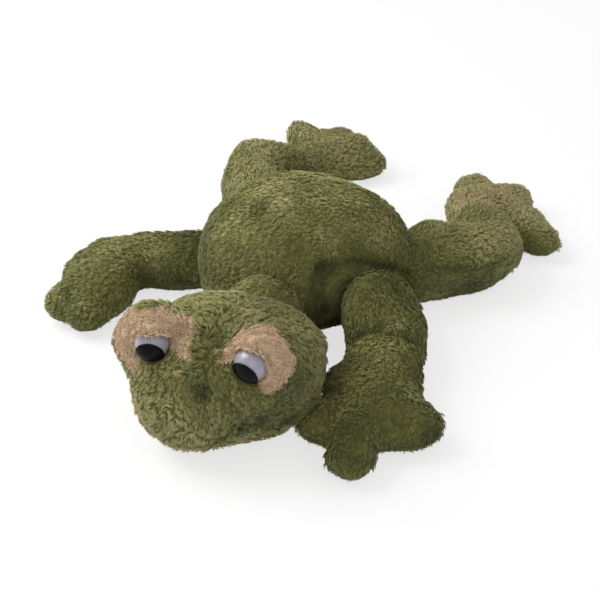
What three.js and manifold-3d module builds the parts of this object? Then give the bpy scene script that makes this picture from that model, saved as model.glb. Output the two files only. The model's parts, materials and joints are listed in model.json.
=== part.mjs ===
// Stuffed plush frog, lying on its belly with its head turned to its left.
// Millimetres, +Z up. The frog faces -Y and its left side is +X.
// The origin is the centre of the flat patch that its belly rests on.

import * as THREE from 'three';
import { mergeVertices } from 'three/addons/utils/BufferGeometryUtils.js';
import Module from 'manifold-3d';

const wasm = await Module();
wasm.setup();

// Cloth and clearances
const clothThickness = 3; // backing cloth with the matted root of the pile
const pieceGap = 0.3; // between pieces that lie against each other
const jointGap = 0.4; // between a round limb root and its socket
const restFlat = 0.5; // how deep each underside is pressed flat
const rimWall = 1.2; // how far a sleeve's mouth stands outside the root it holds
const rimSetback = 8; // from a sleeve's mouth back from the middle of the joint
const rimRounding = 2;
const mouthSlantShare = 0.2; // of the bend at a joint
const waistAngle = 15; // degrees past its widest ring where a round root meets its sleeve
const fillingMouth = 8; // radius of the hole that a piece is stuffed through

// Trunk
const torsoWidth = 120;
const torsoLength = 118;
const torsoHeight = 77;
const torsoSeamHeight = 25;
const torsoFullness = 2.35; // 2 is an ellipsoid, more is boxier
const rumpShare = 0.08; // how much wider the rump is, and how much narrower the chest

// Neck and head
const headTurn = 15.5; // degrees to the frog's left
const neckSpan = 11; // between the trunk and the back of the head
const neckMiddleShare = 0.64; // of that span, where the neck's middle lies
const neckRadius = 23;
const neckHeight = 33;
const headWidth = 99;
const headLength = 99;
const headHeight = 68;
const headTilt = 9; // degrees that the muzzle is raised
const headFullness = 2.4;
const mouthHeight = 17;
const eyeMoundRadius = 15;
const eyeMoundApart = 62;
const eyeMoundForward = 22.4; // in front of the middle of the head
const eyeMoundRise = 26.3; // above the middle of the head

// Eyes: a domed ball with a ribbed shank, a cap for the pupil and a lock washer
const eyePatchThickness = 2.5;
const eyePatchAngle = 74; // degrees from the middle of the patch to its edge
const eyePatchTilt = 12; // degrees that the patch looks up
const eyePatchOutward = 2; // degrees that the patch looks outward
const eyeRise = 3; // from the middle of the mound up to the axis of the eye
const eyeDroop = 8; // degrees that an eye looks down
const eyeInward = 14; // degrees that an eye looks inward
const eyeballRadius = 9;
const eyeballProud = 15.5; // from the middle of the mound forward to the middle of the ball
const eyeballBack = 2; // from the middle of the ball back to its flat back
const shankRadius = 2;
const shankLength = 11;
const shankRibRise = 0.45;
const shankRibPitch = 2;
const shankRibCount = 3;
const pupilRadius = 7.1;
const pupilDrop = 20; // degrees that a pupil looks down from the axis of its ball
const pupilThickness = 0.9;
const pupilEdgeShare = 0.94; // of the cap's angle, where its rounded front begins
const washerRadius = 6;
const washerThickness = 1.2;
const washerDepth = 5.5; // from the ball's flat back in to the washer
const washerSlotCount = 5;
const washerSlotWidth = 0.9;
const washerSlotLength = 2.2;

// Arms, from the shoulder to the elbow to the middle of the palm
const shoulderAcross = 128;
const shoulderForward = 12;
const shoulderTwist = 6; // how much further forward the right one lies, and further back the left
const shoulderRadius = 18.5;
const elbowRadius = 17;
const upperArmLength = 45;
const lowerArmLength = 32;
const armSwell = 1.4;
const palmHalfWidth = 24;
const palmHalfHeight = 15;
const palmEnd = 16; // from the middle of the palm to its end between the fingers
const fingerLength = 31; // from the middle of the palm to the middle of a full finger's tip
const fingerRadius = 12.5;
const fingerRootRadius = 14;

// Legs, from the hip to the knee to the ankle to the middle of the sole
const hipAcross = 110;
const hipBack = 46;
const hipRadius = 21;
const kneeRadius = 20.5;
const ankleRadius = 14.5;
const thighLength = 54;
const shinLength = 46;
const soleLength = 20;
const legSwell = 2.4;
const soleHalfWidth = 21;
const soleHalfHeight = 15;
const soleEnd = 14;
const toeLength = 33;
const toeRadius = 12;
const toeRootRadius = 13.5;

// How the limbs lie: degrees from straight out sideways, minus is forwards, and for the
// three fingers or toes their headings and how much of its length each one shows
const restingPose = {
  left: {
    arm: { root: -36, along: [-59, -65], lobes: [-120, -74, 2], reachShares: [0.96, 1.2, 0.88] },
    leg: { root: 55, along: [60, 130, 80], lobes: [142, 87, -14], reachShares: [1.05, 0.88, 1.1] },
  },
  right: {
    arm: { root: -24, along: [-38, -92], lobes: [-116, -62, 24], reachShares: [0.72, 0.66, 0.9] },
    leg: { root: 37, along: [40, 105, 92], lobes: [141, 80, 30], reachShares: [1.08, 0.88, 1] },
  },
};

// How finely the forms are faceted
const skin = {
  sides: 12,
  pathRings: 3,
  ballRings: 3,
  endRings: 2,
  lobeSides: 7,
  around: 18,
  down: 10,
  moundAround: 12,
};
const core = {
  sides: 7,
  pathRings: 2,
  ballRings: 2,
  endRings: 1,
  lobeSides: 5,
  around: 10,
  down: 6,
  moundAround: 8,
};
const socketFacets = { around: 14, down: 8 };
const cupFacets = { around: 8, down: 6 };
const eyeSides = 14;
const eyeArcSteps = 4;
const capArcSteps = 3;
const washerArcSteps = 2;
const weldDistance = 0.0001;

// Values worked out from the sizes above
const fillingInset = clothThickness + pieceGap;
const tallestHeight = Math.max(torsoHeight, headHeight + eyeMoundRise + eyeMoundRadius);
const neckReach = torsoLength / 2 + neckSpan * neckMiddleShare;
const headReach = (torsoLength + headLength) / 2 + neckSpan;
const workSpan = 4 * (torsoLength + headReach);
const radians = THREE.MathUtils.degToRad;
const lerp = THREE.MathUtils.lerp;
const upward = new THREE.Vector3(0, 0, 1);

// Solids and meshes

function toSolid(geometry) {
  const plain = geometry.clone();
  plain.deleteAttribute('normal');
  plain.deleteAttribute('uv');
  const merged = mergeVertices(plain, weldDistance);
  return new wasm.Manifold(new wasm.Mesh({
    numProp: 3,
    vertProperties: Float32Array.from(merged.attributes.position.array),
    triVerts: Uint32Array.from(merged.index.array),
  }));
}

function toMesh(name, solid, material) {
  const data = solid.getMesh();
  const geometry = new THREE.BufferGeometry();
  geometry.setAttribute('position', new THREE.BufferAttribute(Float32Array.from(data.vertProperties), 3));
  geometry.setIndex(new THREE.BufferAttribute(Uint32Array.from(data.triVerts), 1));
  geometry.computeVertexNormals();
  const mesh = new THREE.Mesh(geometry, material);
  mesh.name = name;
  return mesh;
}

// Points listed ring by ring, with one closing point before and one after
function ringForm(rings, startPoint, endPoint) {
  const sides = rings[0].length;
  const points = [startPoint, ...rings.flat(), endPoint];
  const last = points.length - 1;
  const at = (ring, side) => 1 + ring * sides + (side % sides);
  const index = [];
  for (let side = 0; side < sides; side += 1) {
    index.push(0, at(0, side), at(0, side + 1));
    index.push(last, at(rings.length - 1, side + 1), at(rings.length - 1, side));
    for (let ring = 0; ring + 1 < rings.length; ring += 1) {
      index.push(at(ring, side), at(ring + 1, side), at(ring, side + 1));
      index.push(at(ring, side + 1), at(ring + 1, side), at(ring + 1, side + 1));
    }
  }
  const geometry = new THREE.BufferGeometry().setFromPoints(points);
  geometry.setIndex(index);
  return geometry;
}

function ovalRing(centre, along, halfWidth, halfHeight, sides) {
  const across = new THREE.Vector3().crossVectors(along, upward).normalize();
  return Array.from({ length: sides }, (_, side) => {
    const angle = (2 * Math.PI * side) / sides;
    return centre.clone()
      .addScaledVector(across, halfWidth * Math.cos(angle))
      .addScaledVector(upward, halfHeight * Math.sin(angle));
  });
}

function ball(centre, radius, around, down) {
  const geometry = new THREE.SphereGeometry(radius, around, down).rotateX(Math.PI / 2);
  return toSolid(geometry.translate(centre.x, centre.y, centre.z));
}

// How much larger a faceted ball must be for its flats to lie at the wanted radius
function flatsGrowth(facets) {
  return 1 / (Math.cos(Math.PI / facets.around) * Math.cos(Math.PI / (2 * facets.down)));
}

// The hollow that a round root turns in
function socket(joint) {
  const radius = (joint.radius + jointGap) * flatsGrowth(socketFacets);
  return ball(joint.pivot, radius, socketFacets.around, socketFacets.down);
}

// The same hollow grown by a wall, which keeps the filling back from it
function cup(joint, wall) {
  const radius = (joint.radius + jointGap) * flatsGrowth(socketFacets) + wall;
  return ball(joint.pivot, radius * flatsGrowth(cupFacets), cupFacets.around, cupFacets.down);
}

// A full, crowned form with soft corners
function pillow(width, length, height, fullness, inset, detail) {
  const geometry = new THREE.SphereGeometry(1, detail.around, detail.down).rotateX(Math.PI / 2);
  const place = geometry.attributes.position;
  const round = (value) => Math.sign(value) * Math.abs(value) ** (2 / fullness);
  for (let i = 0; i < place.count; i += 1) {
    place.setXYZ(
      i,
      round(place.getX(i)) * (width / 2 - inset),
      round(place.getY(i)) * (length / 2 - inset),
      round(place.getZ(i)) * (height / 2 - inset),
    );
  }
  return geometry;
}

function slab(bottom, top) {
  const geometry = new THREE.BoxGeometry(workSpan, workSpan, top - bottom);
  return toSolid(geometry.translate(0, 0, (top + bottom) / 2));
}

// Everything from the floor up to a seam, and from the seam up
const belowSeam = (height) => slab(0, height - pieceGap / 2);
const aboveSeam = (height) => slab(height + pieceGap / 2, tallestHeight * 2);
const aboveFloor = slab(0, tallestHeight * 2);
const aboveFilling = slab(fillingInset, tallestHeight * 2);

// A stuffed sleeve between two joints: round at its root, swelling along its length,
// and either open round the next joint or closed by a round end
function sleeve(part, inset, detail) {
  const { sides, ballRings, pathRings, endRings } = detail;
  const { curve, from, to, root, halfWidthAt, halfHeightAt, heightAt, end } = part;
  const startAlong = flatTangent(curve, from);
  const finishAlong = flatTangent(curve, to);
  const alongAt = (share) => startAlong.clone().lerp(finishAlong, share).normalize();
  const rings = [];
  const rootRadius = root.radius - inset;
  for (let k = 1; k <= ballRings; k += 1) {
    const angle = (radians(90 + waistAngle) * k) / ballRings;
    const centre = root.pivot.clone().addScaledVector(startAlong, -rootRadius * Math.cos(angle));
    const radius = rootRadius * Math.sin(angle);
    rings.push(ovalRing(centre, startAlong, radius, radius, sides));
  }
  const stop = end.open ? 1 - (rimSetback + inset) / part.length : 1;
  for (let k = 1; k <= pathRings; k += 1) {
    const share = (stop * k) / pathRings;
    const centre = curve.getPoint(lerp(from, to, share));
    centre.z = heightAt(share);
    const halfWidth = halfWidthAt(share) - inset;
    const halfHeight = halfHeightAt(share) - inset;
    rings.push(ovalRing(centre, alongAt(share), halfWidth, halfHeight, sides));
  }
  const endAlong = alongAt(stop);
  const endCentre = curve.getPoint(lerp(from, to, stop));
  endCentre.z = heightAt(stop);
  const endReach = end.open ? rimRounding : end.reach - inset;
  if (!end.open) {
    for (let k = 1; k <= endRings; k += 1) {
      const angle = (Math.PI / 2) * (k / (endRings + 1));
      const centre = endCentre.clone().addScaledVector(endAlong, endReach * Math.sin(angle));
      const halfWidth = (halfWidthAt(1) - inset) * Math.cos(angle);
      const halfHeight = (halfHeightAt(1) - inset) * Math.cos(angle);
      rings.push(ovalRing(centre, endAlong, halfWidth, halfHeight, sides));
    }
  }
  const startPoint = root.pivot.clone().addScaledVector(startAlong, -rootRadius);
  const endPoint = endCentre.clone().addScaledVector(endAlong, endReach);
  return toSolid(ringForm(rings, startPoint, endPoint));
}

// Everything past a sleeve's mouth, from a wall before it: the mouth slants back inside a bend
function pastMouth(joint, along, bend, wall) {
  const form = new THREE.BoxGeometry(workSpan, workSpan, workSpan);
  form.translate(workSpan / 2 - rimSetback - wall, 0, 0);
  form.rotateZ(Math.atan2(along.y, along.x) + mouthSlantShare * bend);
  return toSolid(form.translate(joint.pivot.x, joint.pivot.y, 0));
}

function flatTangent(curve, at) {
  const along = curve.getTangent(at);
  along.z = 0;
  return along.normalize();
}

// A finger or toe: a tapering round-ended lobe that fans out from the middle of the palm
function lobe(palm, heading, side, sizes, inset, detail) {
  const { lobeSides, endRings } = detail;
  const along = headingVector(heading, side);
  const rings = [];
  for (const [share, radius] of [[0, sizes.rootRadius], [1, sizes.radius]]) {
    const centre = palm.clone().addScaledVector(along, sizes.length * share);
    centre.z = radius - restFlat;
    rings.push(ovalRing(centre, along, radius - inset, radius - inset, lobeSides));
  }
  const tipRadius = sizes.radius - inset;
  const tip = palm.clone().addScaledVector(along, sizes.length);
  tip.z = sizes.radius - restFlat;
  for (let k = 1; k <= endRings; k += 1) {
    const angle = (Math.PI / 2) * (k / (endRings + 1));
    const centre = tip.clone().addScaledVector(along, tipRadius * Math.sin(angle));
    const radius = tipRadius * Math.cos(angle);
    rings.push(ovalRing(centre, along, radius, radius, lobeSides));
  }
  const startPoint = palm.clone().addScaledVector(along, -(sizes.rootRadius - inset) / 2);
  startPoint.z = sizes.rootRadius - restFlat;
  return toSolid(ringForm(rings, startPoint, tip.addScaledVector(along, tipRadius)));
}

function headingVector(degrees, side) {
  return new THREE.Vector3(side * Math.cos(radians(degrees)), Math.sin(radians(degrees)), 0);
}

// Materials

const plushGreen = new THREE.MeshStandardMaterial({ color: 0x6f7442, roughness: 0.95, metalness: 0 });
const chinPlush = new THREE.MeshStandardMaterial({ color: 0x7f7650, roughness: 0.95, metalness: 0 });
const patchPlush = new THREE.MeshStandardMaterial({ color: 0xb89c7c, roughness: 0.95, metalness: 0 });
const fillingFibre = new THREE.MeshStandardMaterial({ color: 0xe6e3da, roughness: 1, metalness: 0 });
const eyeWhite = new THREE.MeshStandardMaterial({ color: 0xb9b9c9, roughness: 0.2, metalness: 0 });
const pupilBlack = new THREE.MeshStandardMaterial({ color: 0x0a0a0a, roughness: 0.08, metalness: 0 });
const washerPlastic = new THREE.MeshStandardMaterial({ color: 0xdedcd2, roughness: 0.5, metalness: 0 });

const frog = new THREE.Group();

// The two cloth panels of a piece, sewn along its side seam, and the filling in them
function addPanelledPiece(names, outer, inner, filling, seamHeight, materials) {
  const cover = outer.subtract(inner).intersect(aboveFloor);
  frog.add(toMesh(names.top, cover.intersect(aboveSeam(seamHeight)), materials.top));
  frog.add(toMesh(names.under, cover.intersect(belowSeam(seamHeight)), materials.under));
  frog.add(toMesh(names.filling, filling.intersect(aboveFilling), fillingFibre));
}

// A sleeve sewn from one folded panel, open at its root where it is stuffed, and its filling
function addSleevedPiece(name, outer, inner, filling, joint, along) {
  const mouth = new THREE.CylinderGeometry(fillingMouth, fillingMouth, joint.radius, core.sides);
  mouth.translate(0, joint.radius, 0).rotateZ(Math.atan2(along.x, -along.y));
  const hole = toSolid(mouth.translate(joint.pivot.x, joint.pivot.y, joint.pivot.z));
  const cover = outer.subtract(inner).subtract(hole).intersect(aboveFloor);
  frog.add(toMesh(`${name}_cover`, cover, plushGreen));
  frog.add(toMesh(`${name}_stuffing`, filling.intersect(aboveFilling), fillingFibre));
}

// Joints of the trunk

const neckPoint = headingVector(-90 + headTurn, 1).multiplyScalar(neckReach).setZ(neckHeight);
const neckJoint = { pivot: neckPoint, radius: neckRadius };

const limbJoint = (side, across, forward, radius) => ({
  pivot: new THREE.Vector3((side * across) / 2, -forward, radius + rimWall - restFlat),
  radius,
});

const sides = { left: 1, right: -1 };
const shoulders = {};
const hips = {};
for (const [name, side] of Object.entries(sides)) {
  shoulders[name] = limbJoint(side, shoulderAcross, shoulderForward - side * shoulderTwist, shoulderRadius);
  hips[name] = limbJoint(side, hipAcross, -hipBack, hipRadius);
}

// Trunk

function torsoForm(inset, detail) {
  const form = pillow(torsoWidth, torsoLength, torsoHeight, torsoFullness, inset, detail);
  const place = form.attributes.position;
  for (let i = 0; i < place.count; i += 1) {
    place.setX(i, place.getX(i) * (1 + (2 * rumpShare * place.getY(i)) / torsoLength));
  }
  return toSolid(form.translate(0, 0, torsoHeight / 2 - restFlat));
}

function buildTorso() {
  const joints = [neckJoint, ...Object.values(shoulders), ...Object.values(hips)];
  let outer = torsoForm(0, skin);
  let inner = torsoForm(clothThickness, core);
  let filling = torsoForm(fillingInset, core);
  for (const joint of joints) {
    outer = outer.subtract(socket(joint));
    inner = inner.subtract(cup(joint, clothThickness));
    filling = filling.subtract(cup(joint, fillingInset));
  }
  const names = { top: 'torso_back_cover', under: 'torso_belly_cover', filling: 'torso_stuffing' };
  const materials = { top: plushGreen, under: plushGreen };
  addPanelledPiece(names, outer, inner, filling, torsoSeamHeight, materials);
}

// Neck: a round sleeve that both the trunk and the head turn on

function buildNeck() {
  const outer = ball(neckPoint, neckRadius, skin.around, skin.down);
  const inner = ball(neckPoint, neckRadius - clothThickness, cupFacets.around, cupFacets.down);
  const filling = ball(neckPoint, neckRadius - fillingInset, cupFacets.around, cupFacets.down);
  addSleevedPiece('neck', outer, inner, filling, neckJoint, headingVector(-90 + headTurn, 1));
}

// Head, built facing -Y about its own middle and then turned and placed

const headDepth = Math.hypot(
  (headHeight / 2) * Math.cos(radians(headTilt)),
  (headLength / 2) * Math.sin(radians(headTilt)),
);
const headCentre = headingVector(-90 + headTurn, 1).multiplyScalar(headReach).setZ(headDepth - restFlat);
const headPlace = new THREE.Matrix4().makeRotationZ(radians(headTurn))
  .multiply(new THREE.Matrix4().makeRotationX(radians(-headTilt)))
  .setPosition(headCentre);
const placeOnHead = (geometry) => toSolid(geometry.applyMatrix4(headPlace));

const moundCentre = (side) => new THREE.Vector3((side * eyeMoundApart) / 2, -eyeMoundForward, eyeMoundRise);

function mound(side, inset, detail) {
  const centre = moundCentre(side);
  const around = detail.moundAround;
  const geometry = new THREE.SphereGeometry(eyeMoundRadius - inset, around, Math.ceil(around / 2));
  geometry.rotateX(Math.PI / 2);
  return placeOnHead(geometry.translate(centre.x, centre.y, centre.z));
}

function skull(inset, detail) {
  return placeOnHead(pillow(headWidth, headLength, headHeight, headFullness, inset, detail));
}

function headForm(inset, detail) {
  return skull(inset, detail).add(mound(1, inset, detail)).add(mound(-1, inset, detail));
}

// A turned shape whose axis looks out of the eye mound, tilted up and outward by degrees
function placeOnMound(geometry, side, tilt, outward, rise) {
  const centre = moundCentre(side);
  geometry.rotateX(radians(180 - tilt)).rotateZ(radians(side * outward));
  return placeOnHead(geometry.translate(centre.x, centre.y, centre.z + rise));
}

// Points of an arc about a centre on the axis, from one angle off the axis to another
function arcPoints(middle, radius, fromAngle, toAngle, steps) {
  return Array.from({ length: steps + 1 }, (_, k) => {
    const angle = lerp(fromAngle, toAngle, k / steps);
    return new THREE.Vector2(Math.max(0, radius * Math.sin(angle)), middle + radius * Math.cos(angle));
  });
}

// The eyeball with its flat back and ribbed shank, turned about its axis and grown by a clearance
function eyeballForm(grow) {
  const radius = eyeballRadius + grow;
  const backAngle = Math.PI - Math.acos((eyeballBack + grow) / radius);
  const profile = arcPoints(eyeballProud, radius, backAngle, 0, eyeArcSteps).reverse();
  const back = eyeballProud - eyeballBack - grow;
  profile.push(new THREE.Vector2(shankRadius + grow, back));
  const tip = eyeballProud - eyeballBack - shankLength - grow;
  if (grow === 0) {
    for (let rib = 0; rib < shankRibCount; rib += 1) {
      const top = tip + shankRibPitch * (shankRibCount - rib);
      profile.push(new THREE.Vector2(shankRadius, top));
      profile.push(new THREE.Vector2(shankRadius + shankRibRise, top - shankRibPitch / 2));
      profile.push(new THREE.Vector2(shankRadius, top - shankRibPitch / 2));
    }
  }
  profile.push(new THREE.Vector2(shankRadius + grow, tip), new THREE.Vector2(0, tip));
  return new THREE.LatheGeometry(profile.reverse(), eyeSides);
}

// Room for the eyeball's shank and ribs
function shankRoom() {
  const radius = shankRadius + shankRibRise + pieceGap;
  const length = shankLength + pieceGap + eyeballBack;
  const geometry = new THREE.CylinderGeometry(radius, radius, length, eyeSides);
  return geometry.translate(0, eyeballProud - length / 2, 0);
}

// The black cap that lies on the front of the ball, grown by a clearance
function pupilForm(grow) {
  const inside = eyeballRadius + pieceGap - grow;
  const outside = eyeballRadius + pieceGap + pupilThickness + grow;
  const edge = Math.asin((pupilRadius + grow) / inside);
  const profile = [
    ...arcPoints(0, inside, 0, edge, capArcSteps),
    ...arcPoints(0, outside, edge * pupilEdgeShare, 0, capArcSteps),
  ];
  const cap = new THREE.LatheGeometry(profile, eyeSides);
  return cap.rotateX(radians(pupilDrop)).translate(0, eyeballProud, 0);
}

const washerTop = eyeballProud - eyeballBack - washerDepth;

// A dished lock washer with slots round its bore, which grips the shank inside the head
function washerForm() {
  const bore = shankRadius + shankRibRise + pieceGap;
  const arc = (radius) => [Math.asin(bore / radius), Math.asin(washerRadius / radius)];
  const under = washerTop - washerThickness;
  const profile = [
    ...arcPoints(0, under, ...arc(under), washerArcSteps),
    ...arcPoints(0, washerTop, ...arc(washerTop).reverse(), washerArcSteps),
  ];
  profile.push(profile[0].clone());
  return new THREE.LatheGeometry(profile, eyeSides);
}

function washerSlots() {
  const slots = [];
  for (let k = 0; k < washerSlotCount; k += 1) {
    const length = washerSlotLength * 2;
    const slot = new THREE.BoxGeometry(length, washerTop, washerSlotWidth);
    slot.translate(shankRadius + length / 2 - washerSlotLength / 2, washerTop, 0);
    slots.push(slot.rotateY((2 * Math.PI * k) / washerSlotCount));
  }
  return slots;
}

// Room for the washer and its slack, reaching a little into the filling
function washerRoom() {
  const outer = washerTop + pieceGap;
  const edge = Math.asin((washerRadius + pieceGap) / outer);
  const profile = arcPoints(0, outer, edge, 0, washerArcSteps).reverse();
  const floor = washerTop * Math.cos(edge) - 2 * washerThickness - pieceGap;
  profile.push(new THREE.Vector2(washerRadius + pieceGap, floor), new THREE.Vector2(0, floor));
  return new THREE.LatheGeometry(profile.reverse(), eyeSides);
}

// The pale cloth cap round an eye
function patchForm() {
  const step = radians(eyePatchAngle) / eyeArcSteps;
  const growth = 1 / (Math.cos(Math.PI / eyeSides) * Math.cos(step / 2));
  const inside = (eyeMoundRadius + pieceGap) * growth;
  const profile = [
    ...arcPoints(0, inside, 0, radians(eyePatchAngle), eyeArcSteps),
    ...arcPoints(0, inside + eyePatchThickness, radians(eyePatchAngle), 0, eyeArcSteps),
  ];
  return new THREE.LatheGeometry(profile, eyeSides);
}

function buildHead() {
  let outer = headForm(0, skin).subtract(socket(neckJoint));
  const inner = headForm(clothThickness, core).subtract(cup(neckJoint, clothThickness));
  let filling = headForm(fillingInset, core).subtract(cup(neckJoint, fillingInset));
  const clearOfHead = skull(-pieceGap, skin);
  for (const [name, side] of Object.entries(sides)) {
    const onEye = (geometry) => placeOnMound(geometry, side, -eyeDroop, -eyeInward, eyeRise);
    const eyeRoom = onEye(eyeballForm(pieceGap)).add(onEye(pupilForm(pieceGap)));
    const shankHole = onEye(shankRoom());
    const washerHole = onEye(washerRoom());
    outer = outer.subtract(eyeRoom).subtract(shankHole).subtract(washerHole);
    filling = filling.subtract(eyeRoom).subtract(shankHole).subtract(washerHole);
    const patch = placeOnMound(patchForm(), side, eyePatchTilt, eyePatchOutward, 0);
    frog.add(toMesh(`${name}_eye_patch`, patch.subtract(clearOfHead).subtract(eyeRoom), patchPlush));
    frog.add(toMesh(`${name}_eyeball`, onEye(eyeballForm(0)), eyeWhite));
    frog.add(toMesh(`${name}_pupil`, onEye(pupilForm(0)), pupilBlack));
    const cutSlot = (solid, slot) => solid.subtract(onEye(slot));
    const washer = washerSlots().reduce(cutSlot, onEye(washerForm()));
    frog.add(toMesh(`${name}_eye_washer`, washer, washerPlastic));
  }
  const names = { top: 'head_top_cover', under: 'head_chin_cover', filling: 'head_stuffing' };
  addPanelledPiece(names, outer, inner, filling, mouthHeight, { top: plushGreen, under: chinPlush });
}

// Limbs

// The joints along a limb, each on a smooth curve through the middle of the sleeve
function limbLayout(side, rootJoint, pose, lengths, radii) {
  const points = [rootJoint.pivot.clone().addScaledVector(headingVector(pose.root, side), -lengths[0])];
  const joints = [rootJoint];
  let place = rootJoint.pivot.clone();
  points.push(place);
  lengths.forEach((length, k) => {
    place = place.clone().addScaledVector(headingVector(pose.along[k], side), length);
    if (k < radii.length) {
      place.z = radii[k] + rimWall - restFlat;
      joints.push({ pivot: place, radius: radii[k] });
    }
    points.push(place);
  });
  const bends = pose.along.slice(1).map((heading, k) => side * radians(heading - pose.along[k]));
  return { curve: new THREE.CatmullRomCurve3(points, false, 'centripetal'), points, joints, bends };
}

// A part of a limb that ends round the next joint
function middlePart(layout, k, swell) {
  const root = layout.joints[k];
  const next = layout.joints[k + 1];
  const span = layout.points.length - 1;
  const start = root.radius * Math.cos(radians(waistAngle));
  const finish = next.radius + rimWall;
  const girth = (share) => lerp(start, finish, share) + swell * Math.sin(Math.PI * share);
  return {
    curve: layout.curve,
    from: (k + 1) / span,
    to: (k + 2) / span,
    length: root.pivot.distanceTo(next.pivot),
    root,
    halfWidthAt: girth,
    halfHeightAt: girth,
    heightAt: (share) => Math.max(girth(share) - restFlat, lerp(root.pivot.z, next.pivot.z, share)),
    end: { open: true },
  };
}

// The last part of a limb, flattened into a palm or a sole
function lastPart(layout, palm) {
  const k = layout.joints.length - 1;
  const root = layout.joints[k];
  const span = layout.points.length - 1;
  const start = root.radius * Math.cos(radians(waistAngle));
  const halfHeightAt = (share) => lerp(start, palm.halfHeight, share);
  return {
    curve: layout.curve,
    from: (k + 1) / span,
    to: (k + 2) / span,
    length: palm.length,
    root,
    halfWidthAt: (share) => lerp(start, palm.halfWidth, Math.sin((share * Math.PI) / 2)),
    halfHeightAt,
    heightAt: (share) => lerp(root.pivot.z, palm.halfHeight - restFlat, share),
    end: { open: false, reach: palm.end },
  };
}

function addMiddle(name, part, next, bend) {
  const beyond = (wall) => pastMouth(next, flatTangent(part.curve, part.to), bend, wall);
  const within = (wall) => sleeve(part, wall, core).subtract(cup(next, wall)).subtract(beyond(wall));
  const outer = sleeve(part, 0, skin).subtract(socket(next)).subtract(beyond(0));
  const along = flatTangent(part.curve, part.from);
  addSleevedPiece(name, outer, within(clothThickness), within(fillingInset), part.root, along);
}

function addLast(name, part, palm, side, pose, sizes) {
  const form = (inset, detail) => {
    let solid = sleeve(part, inset, detail);
    pose.lobes.forEach((heading, k) => {
      const length = sizes.length * pose.reachShares[k];
      solid = solid.add(lobe(palm, heading, side, { ...sizes, length }, inset, detail));
    });
    return solid;
  };
  const outer = form(0, skin);
  const inner = form(clothThickness, core);
  const filling = form(fillingInset, core);
  addSleevedPiece(name, outer, inner, filling, part.root, flatTangent(part.curve, part.from));
}

function armLayout(name) {
  const lengths = [upperArmLength, lowerArmLength];
  return limbLayout(sides[name], shoulders[name], restingPose[name].arm, lengths, [elbowRadius]);
}

function legLayout(name) {
  const lengths = [thighLength, shinLength, soleLength];
  return limbLayout(sides[name], hips[name], restingPose[name].leg, lengths, [kneeRadius, ankleRadius]);
}

function buildArm(name) {
  const side = sides[name];
  const layout = armLayout(name);
  const pose = restingPose[name].arm;
  const length = lowerArmLength;
  const palm = { length, halfWidth: palmHalfWidth, halfHeight: palmHalfHeight, end: palmEnd };
  const fingers = { length: fingerLength, radius: fingerRadius, rootRadius: fingerRootRadius };
  addMiddle(`${name}_upper_arm`, middlePart(layout, 0, armSwell), layout.joints[1], layout.bends[0]);
  addLast(`${name}_hand`, lastPart(layout, palm), layout.points.at(-1), side, pose, fingers);
}

function buildLeg(name) {
  const side = sides[name];
  const layout = legLayout(name);
  const pose = restingPose[name].leg;
  const length = soleLength;
  const sole = { length, halfWidth: soleHalfWidth, halfHeight: soleHalfHeight, end: soleEnd };
  const toes = { length: toeLength, radius: toeRadius, rootRadius: toeRootRadius };
  addMiddle(`${name}_thigh`, middlePart(layout, 0, legSwell), layout.joints[1], layout.bends[0]);
  addMiddle(`${name}_shin`, middlePart(layout, 1, legSwell), layout.joints[2], layout.bends[1]);
  addLast(`${name}_foot`, lastPart(layout, sole), layout.points.at(-1), side, pose, toes);
}

buildTorso();
buildNeck();
buildHead();
for (const name of Object.keys(sides)) {
  buildArm(name);
  buildLeg(name);
}

export default frog;
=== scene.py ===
# Stuffed plush frog lying on its belly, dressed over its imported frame.
# Metres, +Z up. The frog faces -Y and its left side is +X.

import json
import math

import bmesh
import bpy
import numpy as np
from mathutils import Matrix, Vector, noise
from mathutils.bvhtree import BVHTree
from mathutils.kdtree import KDTree


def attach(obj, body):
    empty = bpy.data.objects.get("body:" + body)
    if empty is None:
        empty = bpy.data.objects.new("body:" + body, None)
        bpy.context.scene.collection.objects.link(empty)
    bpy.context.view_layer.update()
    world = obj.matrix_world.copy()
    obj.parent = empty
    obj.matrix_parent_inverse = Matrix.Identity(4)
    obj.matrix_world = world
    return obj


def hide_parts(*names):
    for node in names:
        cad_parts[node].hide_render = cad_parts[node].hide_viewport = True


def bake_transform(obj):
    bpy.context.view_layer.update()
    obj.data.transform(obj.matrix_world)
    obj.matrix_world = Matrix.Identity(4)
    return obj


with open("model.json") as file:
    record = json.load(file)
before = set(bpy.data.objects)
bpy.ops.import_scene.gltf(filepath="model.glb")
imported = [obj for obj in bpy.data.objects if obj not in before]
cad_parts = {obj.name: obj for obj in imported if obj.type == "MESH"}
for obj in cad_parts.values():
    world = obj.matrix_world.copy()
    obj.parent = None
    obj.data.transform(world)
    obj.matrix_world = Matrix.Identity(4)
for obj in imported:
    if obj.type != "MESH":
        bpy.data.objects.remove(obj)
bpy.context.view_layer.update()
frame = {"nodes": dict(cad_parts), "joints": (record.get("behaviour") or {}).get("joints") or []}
nodes = frame["nodes"]
joints = {joint["name"]: joint for joint in frame["joints"]}
limbSides = {"left": 1, "right": -1}


def jointPlace(name):
    return np.array(joints[name]["pos_m"], float)


def turning(yaw, pitch):
    # about X by the pitch and then about Z by the yaw, in degrees
    aboutZ = Matrix.Rotation(math.radians(yaw), 3, "Z")
    return np.array(aboutZ @ Matrix.Rotation(math.radians(pitch), 3, "X"))


# The head's own axes, which its eyes, mouth and brow are placed by
headLook = {"turn": 15.5, "tilt": 9, "centre": (0.03193, -0.11515, 0.03396)}
headAxes = turning(headLook["turn"], -headLook["tilt"])


def fromHead(points):
    return np.atleast_2d(points) @ headAxes.T + np.array(headLook["centre"])


def toHead(points):
    return (np.atleast_2d(points) - np.array(headLook["centre"])) @ headAxes


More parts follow.
